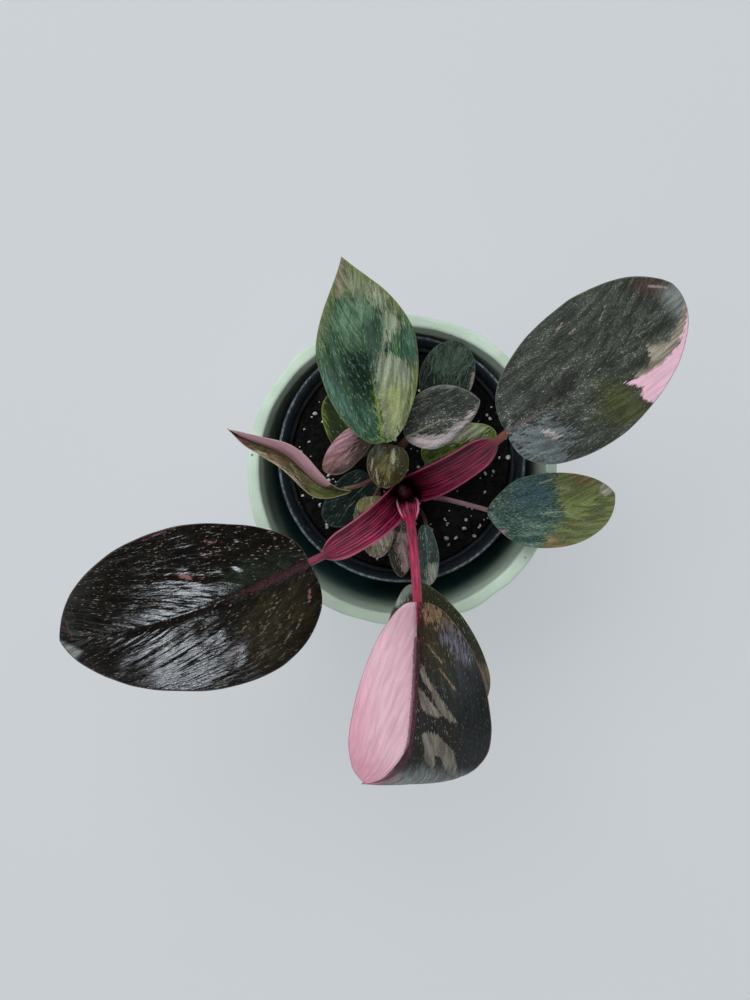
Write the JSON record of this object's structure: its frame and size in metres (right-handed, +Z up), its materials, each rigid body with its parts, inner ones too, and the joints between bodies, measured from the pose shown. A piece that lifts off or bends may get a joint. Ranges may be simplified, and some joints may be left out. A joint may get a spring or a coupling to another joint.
{
  "type": "potted pink princess philodendron",
  "caption": "Variegated pink and dark green philodendron rooted in a black nursery pot that stands inside a rounded matte ceramic cachepot.",
  "frame": {"origin": "centre of the cachepot's underside, on the surface it stands on", "axes": "+Z up along the pot's axis; +X towards the two-coloured leaf that lies level on the right; +Y away from the folded pink leaf"},
  "size_m": [0.2357, 0.1986, 0.204],
  "materials": {
    "cachepot_glaze": "matte glaze with tiny dark pinholes, hand-hammered outer wall",
    "nursery_plastic": "satin",
    "soil": "loose peat with white perlite",
    "stem": "smooth living stem, satin",
    "petiole": "ribbed, satin",
    "leaf": "glossy, with pink, cream and green variegation"
  },
  "bodies": {
    "root": {"cachepot": "cachepot_glaze", "nursery_pot": "nursery_plastic", "soil": "soil", "stem_main": "stem", "stem_second": "stem", "blade_left_dark": "leaf", "petiole_left_dark": "petiole", "blade_right_dark": "leaf", "petiole_right_dark": "petiole", "blade_front_pink": "leaf", "petiole_front_pink": "petiole", "blade_front_lower": "leaf", "petiole_front_lower": "petiole", "blade_back_green": "leaf", "petiole_back_green": "petiole", "blade_inner_right": "leaf", "petiole_inner_right": "petiole", "blade_inner_back": "leaf", "petiole_inner_back": "petiole", "blade_inner_middle": "leaf", "petiole_inner_middle": "petiole", "blade_inner_left": "leaf", "petiole_inner_left": "petiole", "blade_curled": "leaf", "petiole_curled": "petiole", "blade_low_left": "leaf", "petiole_low_left": "petiole", "blade_low_shade": "leaf", "petiole_low_shade": "petiole", "blade_low_front_left": "leaf", "petiole_low_front_left": "petiole", "blade_low_right": "leaf", "petiole_low_right": "petiole", "blade_right_green": "leaf", "petiole_right_green": "petiole", "blade_low_front_right": "leaf", "petiole_low_front_right": "petiole", "blade_low_front": "leaf", "petiole_low_front": "petiole"}
  },
  "joints": []
}
